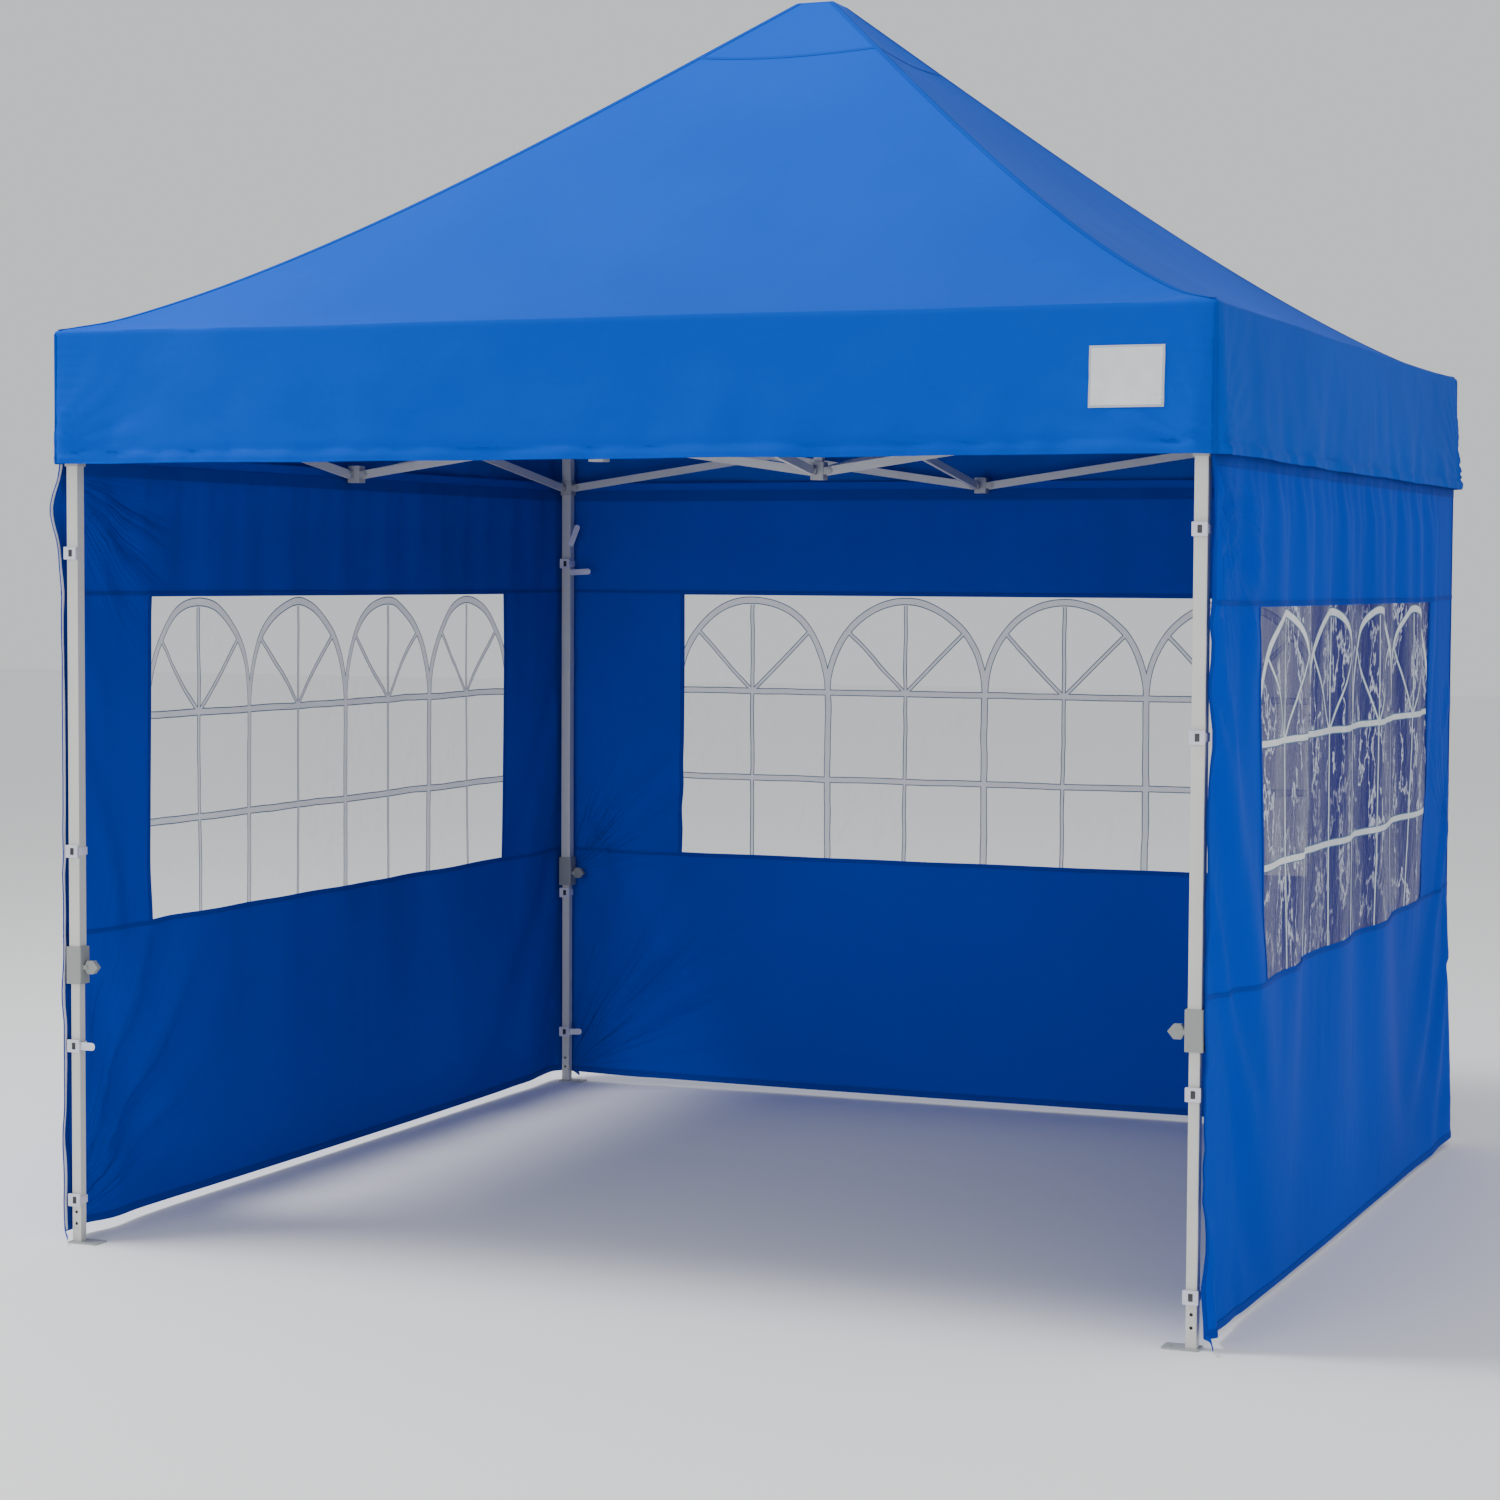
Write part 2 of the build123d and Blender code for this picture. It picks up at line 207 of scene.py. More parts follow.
def fanStreaks(finish, place, wall):
    # fine creases that run out from the pulled corners of a wall, between its larger folds
    x, y, z = finish.parts(place)
    along = {"left": y * -1.0, "right": y, "back": x * -1.0}[wall]
    total = 0.0
    for startU, startZ, way, middle, breadth, count, depth, reach in wallSet["fans"][wall]:
        sideways = (along - startU) * way
        up = z - startZ
        angle = up.maths("ARCTAN2", sideways)
        radius = (sideways * sideways + up * up).maths("SQRT")
        inputs = {0: angle * (count * 0.42), 1: radius * 1.3, 2: startU + startZ}
        polar = finish.node("ShaderNodeCombineXYZ", {}, inputs)
        ridge = (0.24 - (finish.speckle(polar, 1.0, 3.0, 0.45) - 0.5).size()).larger(0.0) * 4.0
        offAngle = (angle - middle) / (breadth * 1.9)
        within = (1 - offAngle * offAngle).larger(0.0)
        fade = (1 - radius / (reach * 1.1)).larger(0.0) * (radius * 5.0).smaller(1.0)
        total = ridge * within * fade + total
    return total


def clothFinish(name, colour, wall=None):
    look = clothLook
    finish = Finish(name)
    place = finish.place()
    x, y, z = finish.parts(place)
    turns = 2 * math.pi / look["threadPitch"]
    level = (x + y) * turns
    upright = (z + x * 0.3) * turns
    threads = level.maths("SINE") * upright.maths("SINE")
    creases = finish.speckle(place, look["creaseScale"], 4.0, 0.55)
    fade = finish.speckle(place, 1.1, 2.0, 0.5)
    thread = finish.speckle(place, 420.0, 2.0, 0.6)
    paler = tuple(min(1.0, value * 1.14 + 0.004) for value in colour[:3]) + (1,)
    darker = shaded(colour, 0.86)
    tone = (fade * 0.7 + thread * 0.3).maths("MULTIPLY_ADD", 1.6, -0.3)
    coloured = finish.blend(tone, darker, paler)
    rough = thread * 0.16 + (look["roughness"] - 0.08)
    soft = finish.bump(creases, look["creaseDepth"], 0.75)
    if wall:
        soft = finish.bump(fanStreaks(finish, place, wall), look["fanDepth"], 1.0, soft)
    woven = finish.bump(threads, look["threadDepth"], 0.6, soft)
    return finish.surface({
        "Base Color": coloured,
        "Roughness": rough,
        "Normal": woven,
        "Specular IOR Level": look["shine"],
        "Specular Tint": look["shineTint"],
    })


paintLook = {
    "colour": (0.62, 0.62, 0.585, 1),
    "worn": (0.50, 0.50, 0.475, 1),
    "peelScale": 900.0,
    "peelDepth": 0.00008,
}


def wornPaint(finish, smudge):
    return finish.blend((smudge - 0.45) * 0.9, paintLook["colour"], paintLook["worn"])


def paintFinish():
    look = paintLook
    finish = Finish("powderCoat")
    place = finish.place()
    peel = finish.speckle(place, look["peelScale"], 2.0)
    smudge = finish.speckle(place, 9.0, 5.0, 0.6)
    return finish.surface({
        "Base Color": wornPaint(finish, smudge),
        "Roughness": smudge * 0.18 + 0.33,
        "Normal": finish.bump(peel, look["peelDepth"], 0.5),
    })


def plasticFinish(name, colour, grainScale=1400.0):
    finish = Finish(name)
    place = finish.place()
    grain = finish.speckle(place, grainScale, 3.0, 0.6)
    shade = finish.speckle(place, 30.0, 3.0, 0.5)
    darker = shaded(colour, 0.82)
    coloured = finish.blend(shade, darker, colour)
    return finish.surface({
        "Base Color": coloured,
        "Roughness": grain * 0.2 + 0.36,
        "Normal": finish.bump(grain, 0.0001, 0.4),
    })


legLook = {
    "housingTop": 0.095,
    "bracketLow": 2.188,
    "bracketHigh": 2.242,
    "capLow": 2.3175,
    "footTop": 0.0045,
    "footColour": (0.36, 0.38, 0.38, 1),
}


def legFinish():
    # painted tube, with the moulded housing, bracket and cap told apart by their heights
    finish = Finish("outerLegFinish")
    place = finish.place()
    z = finish.parts(place)[2]
    housing = z.below(housingLow + legLook["housingTop"] + 0.0005)
    bracket = z.above(legLook["bracketLow"]) * z.below(legLook["bracketHigh"])
    cap = z.above(legLook["capLow"])
    moulded = housing.larger(bracket).larger(cap)
    smudge = finish.speckle(place, 9.0, 5.0, 0.6)
    grain = finish.speckle(place, 1100.0, 3.0, 0.6)
    plastic = finish.blend(housing, bracketColour, lockColour)
    coloured = finish.blend(moulded, wornPaint(finish, smudge), plastic)
    return finish.surface({
        "Base Color": coloured,
        "Roughness": moulded * 0.12 + smudge * 0.15 + 0.33,
        "Normal": finish.bump(grain, paintLook["peelDepth"], 0.5),
    })


def footFinish():
    # painted inner tube on a darker foot plate
    finish = Finish("lowerLegFinish")
    place = finish.place()
    foot = finish.parts(place)[2].below(legLook["footTop"])
    smudge = finish.speckle(place, 12.0, 5.0, 0.6)
    grain = finish.speckle(place, 1000.0, 3.0, 0.6)
    return finish.surface({
        "Base Color": finish.blend(foot, wornPaint(finish, smudge), legLook["footColour"]),
        "Roughness": smudge * 0.2 + 0.33,
        "Normal": finish.bump(grain, paintLook["peelDepth"], 0.5),
    })


def webbingFinish():
    finish = Finish("whiteWebbing")
    place = finish.place()
    x, y, z = finish.parts(place)
    ribs = ((x + y) * 2600.0).maths("SINE") * (z * 3400.0).maths("SINE")
    fuzz = finish.speckle(place, 700.0, 3.0, 0.6)
    return finish.surface({
        "Base Color": finish.blend(fuzz, (0.60, 0.60, 0.70, 1), (0.80, 0.80, 0.88, 1)),
        "Roughness": fuzz * 0.2 + 0.55,
        "Normal": finish.bump(ribs, 0.0002, 0.8),
    })


filmLook = {
    "barWidth": 0.0105,
    "archWidth": 0.0115,
    "rayWidth": 0.0070,
    "outline": 0.0030,
    "archPitch": 0.537,
    "archRise": 0.300,
    "firstBar": 0.316,
    "secondBar": 0.602,
    "printColour": (0.78, 0.81, 0.83, 1),
    "outlineColour": (0.07, 0.15, 0.26, 1),
    "printCover": 0.62,
    "outlineCover": 0.95,
    # half-width of the painted reflection streaks on the film
    "reflectionStreakHalf": 0.020,
    "wobble": 0.012,
    "glareColour": (0.62, 0.66, 0.78, 1),
    "shine": 0.05,
}


def filmFinish(name, width, height, clear, paintedReflectionStrength, filmTintAndPaintedShade):
    # clear film with printed window bars and painted reflection streaks: the sheet's own UV runs 0 to 1 over
    # the window
    # the film colour is the film's tint, and for the right window a dark blue painted shade of the room
    # behind; clear sets how much of it covers the window
    look = filmLook
    finish = Finish(name)
    u, v = finish.parts(finish.sheetPlace())[:2]
    place = finish.place()
    wobble = finish.speckle(place, 6.0, 2.0) * look["wobble"] - look["wobble"] / 2
    along = u * width - width / 2 + wobble
    down = height - v * height + wobble * 0.6
    pitch = look["archPitch"]
    inCell = ((along + 8 * pitch).maths("MODULO", pitch) - pitch / 2).size()
    fromCell = pitch / 2 - inCell
    rise = look["firstBar"] - down
    aboveBar = rise.above(0.0)
    far = (1 - aboveBar) * 9.0
    nearX = inCell / (pitch / 2)
    nearY = rise / look["archRise"]
    ring = ((nearX * nearX + nearY * nearY).maths("SQRT") - 1.0).size() * (pitch / 2) * 1.06
    arch = ring + far - look["archWidth"]
    onlyBelow = aboveBar * 9.0
    edge = fromCell + onlyBelow - look["archWidth"]
    middle = inCell + (down.below(0.03) * 9.0) - look["rayWidth"]
    insideArch = ((nearX * nearX + nearY * nearY) - 1.0).larger(0.0) * 40.0
    ray = (inCell - rise).size() * 0.7071 + far + insideArch - look["rayWidth"]
    firstBar = (down - look["firstBar"]).size() - look["barWidth"]
    secondBar = (down - look["secondBar"]).size() - look["barWidth"]
    spoke = middle + insideArch * aboveBar
    nearest = arch.smaller(edge).smaller(spoke).smaller(ray).smaller(firstBar).smaller(secondBar)
    printed = nearest.below(0.0)
    line = printed * nearest.above(-look["outline"])
    rumple = finish.speckle(finish.stretched(place, (1.0, 1.0, 0.45)), 9.0, 5.0, 0.6)
    # painted reflection: pale streaks where the rumpled film catches the light, painted into colour and
    # alpha
    reflectionStreak = (look["reflectionStreakHalf"] - (rumple - 0.5).size()).larger(0.0) * 42.0
    patches = ((finish.speckle(place, 2.4, 3.0) - 0.40).larger(0.0) * 5.0).smaller(1.0)
    paintedReflection = reflectionStreak * patches * paintedReflectionStrength
    inked = finish.blend(line, look["printColour"], look["outlineColour"])
    # painted reflection colour laid over the film colour
    glare = finish.blend((paintedReflection * 1.4).smaller(1.0), filmTintAndPaintedShade, look["glareColour"])
    coloured = finish.blend(printed, glare, inked)
    cover = printed * look["printCover"] + line * (look["outlineCover"] - look["printCover"])
    # alpha: the print, the painted reflection streaks, and the film colour's cover, which on the right
    # window makes its painted shade nearly opaque
    solid = cover.larger((paintedReflection + clear).smaller(0.96))
    return finish.surface({
        "Base Color": coloured,
        "Alpha": solid,
        "Roughness": printed * 0.3 + 0.14,
        "Normal": finish.bump(rumple, 0.02, 0.6),
        "Specular IOR Level": look["shine"],
    })


bracketColour = (0.50, 0.505, 0.49, 1)
lockColour = (0.28, 0.295, 0.285, 1)
roofCloth = clothFinish("roofCloth", clothLook["roofColour"])
# seam bands: the walls' colour with its painted shade, made darker still
bandCloth = clothFinish("bandCloth", shaded(clothLook["wallShadedColour"], 0.72))
powderCoat = paintFinish()
bracketPlastic = plasticFinish("bracketPlastic", bracketColour)
lockPlastic = plasticFinish("lockPlastic", lockColour)
clipPlastic = plasticFinish("clipPlastic", (0.70, 0.70, 0.80, 1))
# near-black slot face: painted shade inside the clip's slot
slotPaintedShade = plasticFinish("clipSlotPaintedShade", (0.03, 0.03, 0.04, 1))
patchVinyl = plasticFinish("patchVinyl", (0.74, 0.75, 0.78, 1))
patchBorder = plasticFinish("patchBorder", (0.50, 0.53, 0.60, 1))
seamCloth = clothFinish("seamCloth", shaded(clothLook["roofColour"], 0.80))
whiteWebbing = webbingFinish()
print("finishes made")


# The frame's own nodes

def dressFrame():
    legPaint = legFinish()
    footPaint = footFinish()
    for name, node in frame["nodes"].items():
        if name.startswith("outer_leg"):
            material = legPaint
        elif name.startswith("lower_leg"):
            material = footPaint
        elif name.startswith(("lock_lever", "slider_knob")):
            material = lockPlastic
        elif name.startswith(("bracket", "hub", "slider")):
            material = bracketPlastic
        else:
            material = powderCoat
        for slot in node.material_slots:
            slot.material = material


dressFrame()
print("frame dressed")


# Camera, floor and light

cameraSet = {
    "place": (3.2393, -8.4914, 1.7207),
    "turn": -0.3852,
    "tilt": -0.0535,
    "roll": 0.0053,
    "lens": 77.9,
}


def makeCamera():
    look = cameraSet
    data = bpy.data.cameras.new("camera")
    camera = bpy.data.objects.new("camera", data)
    bpy.context.scene.collection.objects.link(camera)
    data.lens = look["lens"]
    data.sensor_width = 36
    turn, tilt = look["turn"], look["tilt"]
    ahead = Vector((math.sin(turn) * math.cos(tilt), math.cos(turn) * math.cos(tilt), math.sin(tilt)))
    level = Vector((math.cos(turn), -math.sin(turn), 0))
    upward = level.cross(ahead)
    right = level * math.cos(look["roll"]) + upward * math.sin(look["roll"])
    up = right.cross(ahead)
    turned = Matrix((right, up, -ahead)).transposed().to_4x4()
    camera.matrix_world = Matrix.Translation(Vector(look["place"])) @ turned
    data.clip_end = 200
    bpy.context.scene.camera = camera


lightSet = {
    "sky": (0.96, 0.98, 1.0, 1),
    "skyStrength": 0.76,
    "floor": (0.93, 0.93, 0.93, 1),
    "lamps": [
        {"name": "overhead", "place": (-3.5, -2.1, 8.5), "size": 2.4, "power": 640},
        {"name": "rightFill", "place": (9.0, -3.0, 3.5), "size": 4.0, "power": 100},
        {"name": "frontFill", "place": (-1.5, -9.5, 2.6), "size": 4.0, "power": 190},
    ],
}


def makeStage():
    look = lightSet
    world = bpy.data.worlds.new("studio")
    bpy.context.scene.world = world
    world.use_nodes = True
    world.node_tree.nodes["Background"].inputs["Color"].default_value = look["sky"]
    world.node_tree.nodes["Background"].inputs["Strength"].default_value = look["skyStrength"]
    for lamp in look["lamps"]:
        data = bpy.data.lights.new(lamp["name"], "AREA")
        data.energy = lamp["power"]
        data.size = lamp["size"]
        made = bpy.data.objects.new(lamp["name"], data)
        bpy.context.scene.collection.objects.link(made)
        made.location = lamp["place"]
        made.rotation_euler = (Vector((0, 0, 1.2)) - made.location).to_track_quat("-Z", "Y").to_euler()
    bpy.ops.object.select_all(action="DESELECT")
    bpy.ops.mesh.primitive_plane_add(size=80)
    floor = bpy.context.object
    floor.name = "floor"
    finish = Finish("paleFloor")
    cloud = finish.speckle(finish.place(), 0.6, 2.0)
    tone = finish.blend(cloud, look["floor"], shaded(look["floor"], 0.985))
    floor.data.materials.append(finish.surface({"Base Color": tone, "Roughness": 0.75}))


makeCamera()
makeStage()
print("camera, floor and lights made")


# Cloth helpers

def deselectAll():
    if bpy.context.object and bpy.context.object.mode != "OBJECT":
        bpy.ops.object.mode_set(mode="OBJECT")
    bpy.ops.object.select_all(action="DESELECT")


def pick(piece):
    deselectAll()
    piece.select_set(True)
    bpy.context.view_layer.objects.active = piece


def applyModifier(piece, kind, name, **settings):
    pick(piece)
    modifier = piece.modifiers.new(name, kind)
    for key, value in settings.items():
        setattr(modifier, key, value)
    bpy.ops.object.modifier_apply(modifier=name)


def gridSheet(name, columns, rows, place):
    # a grid whose points are put by place(column, row), with UV from 0 to 1 each way
    deselectAll()
    bpy.ops.mesh.primitive_grid_add(x_subdivisions=columns, y_subdivisions=rows, size=1)
    sheet = bpy.context.object
    sheet.name = name
    mesh = sheet.data
    flat = np.zeros(len(mesh.vertices) * 3)
    mesh.vertices.foreach_get("co", flat)
    flat = flat.reshape(-1, 3) + 0.5
    column = np.rint(flat[:, 0] * columns).astype(int)
    row = np.rint(flat[:, 1] * rows).astype(int)
    placed = np.array(place(column, row), float)
    mesh.vertices.foreach_set("co", placed.ravel())
    across, up = column / columns, row / rows
    corner = np.zeros(len(mesh.loops), int)
    mesh.loops.foreach_get("vertex_index", corner)
    uv = np.column_stack((across[corner], up[corner]))
    mesh.uv_layers[0].name = "UVMap"
    mesh.uv_layers[0].data.foreach_set("uv", uv.ravel())
    mesh.update()
    return sheet


def spread(*stretches):
    # places along a line, from (start, end, steps) stretches that follow on
    places = [stretches[0][0]]
    for start, end, steps in stretches:
        places.extend(start + (end - start) * step / steps for step in range(1, steps + 1))
    return np.array(places)


def joinAll(pieces, name):
    deselectAll()
    for piece in pieces:
        piece.select_set(True)
    bpy.context.view_layer.objects.active = pieces[0]
    bpy.ops.object.join()
    joined = bpy.context.object
    joined.name = name
    return joined


def selectOnly(piece, test):
    # selects the points whose place passes the test, and what lies between them
    pick(piece)
    bpy.ops.object.mode_set(mode="EDIT")
    bpy.ops.mesh.select_mode(type="VERT")
    bpy.ops.mesh.select_all(action="DESELECT")
    bpy.ops.object.mode_set(mode="OBJECT")
    for vertex in piece.data.vertices:
        vertex.select = test(vertex.co)


def mergeDoubles(piece, distance=0.0001):
    pick(piece)
    bpy.ops.object.mode_set(mode="EDIT")
    bpy.ops.mesh.select_all(action="SELECT")
    bpy.ops.mesh.remove_doubles(threshold=distance)
    bpy.ops.object.mode_set(mode="OBJECT")


def ripple(points, scale, seed):
    return np.array([noise.noise(Vector(point) * scale + Vector((seed, seed * 0.7, 0))) for point in points])


def fairShade(piece, material, degrees=50):
    piece.data.materials.clear()
    piece.data.materials.append(material)
    pick(piece)
    bpy.ops.object.shade_smooth_by_angle(angle=math.radians(degrees))


hookPower = 1.4


def followFrame(piece, body, roofShare=None):
    # cloth moves with the upright members around it, and the peak with the peak tube
    mesh = piece.data
    flat = np.zeros(len(mesh.vertices) * 3)
    mesh.vertices.foreach_get("co", flat)
    place = flat.reshape(-1, 3)
    alongX = np.clip(np.abs(place[:, 0]) / legCentre, 0, 1)
    alongY = np.clip(np.abs(place[:, 1]) / legCentre, 0, 1)
    leftward, forward = place[:, 0] < 0, place[:, 1] < 0
    weights = {
        "upper_bracket_left": alongX * (1 - alongY) * leftward,
        "upper_bracket_right": alongX * (1 - alongY) * ~leftward,
        "upper_bracket_front": (1 - alongX) * alongY * forward,
        "upper_bracket_back": (1 - alongX) * alongY * ~forward,
        "outer_leg_front_left": alongX * alongY * leftward * forward,
        "outer_leg_front_right": alongX * alongY * ~leftward * forward,
        "outer_leg_back_left": alongX * alongY * leftward * ~forward,
        "outer_leg_back_right": alongX * alongY * ~leftward * ~forward,
    }
    if roofShare is not None:
        weights["peak_tube"] = roofShare(place) ** hookPower
    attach(piece, body)
    for name, weight in weights.items():
        if name == body or weight.max() < 0.001:
            continue
        group = piece.vertex_groups.new(name=name)
        for index in np.nonzero(weight > 0.0005)[0]:
            group.add([int(index)], float(weight[index]), "REPLACE")
        hook = piece.modifiers.new(name, "HOOK")
        hook.object = frame["bodies"][name]
        hook.vertex_group = name
        hook.falloff_type = "NONE"
        hook.strength = 1.0


# Canopy top

roofSet = {
    "flatHalf": 0.050,
    "dip": 0.088,
    "dipSkew": 0.7,
    "valanceDrop": 0.335,
    "goreSag": 0.022,
    "legHump": 0.006,
    "humpReach": 0.07,
    "rumple": 0.007,
    "smallRumple": 0.002,
    "eaveWave": 0.004,
    "sideColumns": 116,
    "roofRows": 40,
    "valanceRows": 36,
    "thickness": 0.0009,
    "foldRadius": 0.007,
    "hem": 0.030,
    "seamHalf": 0.013,
    "seamLift": 0.0021,
    "ringReach": 0.262,
    "ringHalf": 0.004,
    "patch": {"low": (1.214, 2.097), "high": (1.387, 2.235), "lift": 0.0022, "frame": 0.0055},
}
valanceSet = {
    "wave": 0.013,
    "smallWave": 0.006,
    "puckers": 13.0,
    "puckerDepth": 0.010,
    "puckerReach": 0.19,
    "stitchPitch": 0.029,
    "stitchDepth": 0.0036,
    "stitchReach": 0.055,
    "gather": 0.010,
    "pinch": 0.0055,
    "flare": 0.010,
    "sway": 0.006,
    "outMost": 0.03,
}
eaveZ = valanceBottom + roofSet["valanceDrop"]
roofRise = peakZ - eaveZ


def roofShareOf(place):
    reach = np.maximum(np.abs(place[:, 0]), np.abs(place[:, 1]))
    share = (clothHalf - reach) / (clothHalf - roofSet["flatHalf"])
    return np.clip(share, 0, 1) * (place[:, 2] > eaveZ - 0.02)


def waveAtEave(x, y, z):
    # the eave line isn't quite straight between the corners
    points = np.column_stack((x, y, x * 0))
    nearCorner = (np.minimum(np.abs(x), np.abs(y)) / clothHalf) ** 8
    fade = np.exp(-((z - eaveZ) / 0.08) ** 2)
    return ripple(points, 1.9, 7.0) * roofSet["eaveWave"] * (1 - nearCorner) * fade


def roofSurface(x, y):
    # the height of the roof cloth over a place in plan: sagging gores, rumples, and the legs pushing up
    look = roofSet
    reach = np.maximum(np.abs(x), np.abs(y))
    share = np.clip((clothHalf - reach) / (clothHalf - look["flatHalf"]), 0, 1)
    ridgeward = np.minimum(np.abs(x), np.abs(y)) / np.maximum(reach, 0.001)
    dip = look["dip"] * np.sin(math.pi * share ** look["dipSkew"])
    sag = look["goreSag"] * (1 - ridgeward ** 2) * np.sin(math.pi * share) ** 0.8
    z = eaveZ + roofRise * (share - dip) - sag
    points = np.column_stack((x, y, z * 0.5))
    rumple = ripple(points, 2.4, 1.0) * look["rumple"] + ripple(points, 6.5, 3.0) * look["smallRumple"]
    z = z + rumple * np.sin(math.pi * share) * (1 - ridgeward ** 6)
    fromLeg = np.hypot(np.abs(x) - legCentre, np.abs(y) - legCentre)
    return z + look["legHump"] * np.exp(-(fromLeg / look["humpReach"]) ** 2) + waveAtEave(x, y, z)


def valanceAt(x, y, outX, outY, down, lift=0.0):
    # the hanging valance: soft waves, puckers that run up from its lower corners, and a gathered hem
    look = valanceSet
    drop, hem = roofSet["valanceDrop"], roofSet["hem"]
    share = np.clip(down / drop, 0, 1)
    toCorner = clothHalf * (1 - np.minimum(np.abs(x), np.abs(y)))
    points = np.column_stack((x * clothHalf, y * clothHalf, down))
    held = np.clip(toCorner / 0.03, 0, 1)
    wave = ripple(points * (1, 1, 0.6), 3.2, 4.0) * look["wave"]
    wave = wave + ripple(points * (1, 1, 0.8), 9.0, 9.0) * look["smallWave"]
    angle = np.arctan2(drop - down, toCorner + 0.02)
    radius = np.hypot(drop - down, toCorner + 0.02)
    fan = np.sin(angle * look["puckers"] + ripple(points, 5.0, 8.0) * 2.0)
    fan = fan * look["puckerDepth"] * np.exp(-radius / look["puckerReach"])
    fan = fan * np.clip(radius / 0.03, 0, 1)
    stitched = np.sin(down * 2 * math.pi / look["stitchPitch"] + x * 3) * look["stitchDepth"]
    stitched = stitched * np.exp(-toCorner / look["stitchReach"])
    belowHem = down - (drop - hem)
    hemmed = np.clip(belowHem / 0.004, 0, 1)
    gather = (ripple(points * (1, 1, 0.3), 17.0, 2.0) * look["gather"] + 0.0035) * hemmed
    pinch = -look["pinch"] * np.exp(-(belowHem / 0.006) ** 2)
    out = np.abs(wave) * share * 1.6 + look["flare"] * share
    out = out + np.abs(fan) + np.abs(stitched) + gather + pinch
    out = np.clip(out * held, 0.0, look["outMost"]) + lift
    sway = ripple(np.column_stack((x * 1.5, y * 1.5, x * 0)), 2.1, 6.0) * look["sway"]
    z = eaveZ - down + sway * share
    z = z + waveAtEave(x * clothHalf, y * clothHalf, z)
    return np.column_stack((x * clothHalf + outX * out, y * clothHalf + outY * out, z))


def perimeter(column, perSide):
    # the point and outward direction on a unit square, going round from the front left corner
    side = (column // perSide) % 4
    share = (column % perSide) / perSide * 2 - 1
    share = np.sin(share * math.pi / 2) * 0.35 + share * 0.65
    one = np.ones_like(share)
    x = np.choose(side, [share, one, -share, -one])
    y = np.choose(side, [-one, share, one, -share])
    return x, y, np.choose(side, [0, 1, 0, -1]), np.choose(side, [-1, 0, 1, 0])


def makeCanopyTop():
    look = roofSet
    perSide = look["sideColumns"]
    roofRows, valanceRows = look["roofRows"], look["valanceRows"]
    fold = look["foldRadius"]

    def place(column, row):
        # rows run out from the peak to the eave, over its fold, and down the valance
        x, y, outX, outY = perimeter(column, perSide)
        outward = np.clip(row / roofRows, 0, 1) ** 1.05
        reach = look["flatHalf"] + (clothHalf - fold - look["flatHalf"]) * outward
        foldRow = row - roofRows
        down = fold + np.clip((foldRow - 2) / valanceRows, 0, 1) * (look["valanceDrop"] - fold)
        roof = np.column_stack((x * reach, y * reach, roofSurface(x * reach, y * reach)))
        hanging = valanceAt(x, y, outX, outY, down)
        onFold = valanceAt(x, y, outX, outY, down * 0 + fold * 0.3, -fold * 0.3)
        return np.where((foldRow >= 2)[:, None], hanging, np.where((foldRow == 1)[:, None], onFold, roof))

    top = gridSheet("canopyTop", perSide * 4, roofRows + valanceRows + 2, place)
    mergeDoubles(top, 0.00002)
    selectOnly(top, lambda place: place.z > peakZ - 0.004)
    bpy.ops.object.mode_set(mode="EDIT")
    bpy.ops.mesh.edge_face_add()
    bpy.ops.mesh.inset(thickness=0.02, depth=0.0)
    bpy.ops.mesh.select_all(action="SELECT")
    bpy.ops.mesh.normals_make_consistent(inside=False)
    bpy.ops.object.mode_set(mode="OBJECT")
    applyModifier(top, "SOLIDIFY", "thickness", thickness=look["thickness"], offset=-1.0)
    fairShade(top, roofCloth, 60)
    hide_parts("canopy_top")
    return top


def makeRoofSeams():
    # taped ridges, the stitched square round the peak, and the corner seams of the valance
    look = roofSet
    half, lift = look["seamHalf"], look["seamLift"]
    made = []
    for signX, signY in corners.values():
        reach = np.linspace(look["flatHalf"] + 0.004, clothHalf - 0.004, 70)

        def ridge(column, row):
            offset = (column - 2) / 2 * half
            x = signX * (reach[row] + np.minimum(offset, 0))
            y = signY * (reach[row] - np.maximum(offset, 0))
            return np.column_stack((x, y, roofSurface(x, y) + lift))

        downs = np.linspace(look["foldRadius"], look["valanceDrop"], 40)
        pulled = half * 0.36 / clothHalf

        def corner(column, row):
            first, middle, last = column == 0, column == 1, column == 2
            x = signX * (1 - pulled * first)
            y = signY * (1 - pulled * last)
            outX = signX * (last + 0.7 * middle)
            outY = signY * (first + 0.7 * middle)
            return valanceAt(x, y, outX, outY, downs[row], lift)

        made.append(gridSheet("ridge", 4, len(reach) - 1, ridge))
        made.append(gridSheet("corner", 2, len(downs) - 1, corner))
    for outX, outY in sides.values():
        along = np.linspace(-look["ringReach"], look["ringReach"], 25)
        hemRun = np.linspace(-0.992, 0.992, 130)

        def hem(column, row):
            share = hemRun[column]
            down = look["valanceDrop"] - look["hem"] - 0.0014 + row * 0.0028
            x, y = outX + outY * share, outY + outX * share
            return valanceAt(x, y, outX, outY, down, look["seamLift"] * 0.7)

        made.append(gridSheet("hem", len(hemRun) - 1, 1, hem))

        def ring(column, row):
            reach = look["ringReach"] + (row - 0.5) * 2 * look["ringHalf"]
            x = outX * reach + outY * along[column]
            y = outY * reach + outX * along[column]
            return np.column_stack((x, y, roofSurface(x, y) + lift))

        made.append(gridSheet("ring", len(along) - 1, 1, ring))
    seams = joinAll(made, "roofSeams")
    pick(seams)
    bpy.ops.object.mode_set(mode="EDIT")
    bpy.ops.mesh.select_all(action="SELECT")
    bpy.ops.mesh.normals_make_consistent(inside=False)
    bpy.ops.object.mode_set(mode="OBJECT")
    applyModifier(seams, "SOLIDIFY", "thickness", thickness=0.0007, offset=0.0)
    fairShade(seams, seamCloth, 60)
    return seams


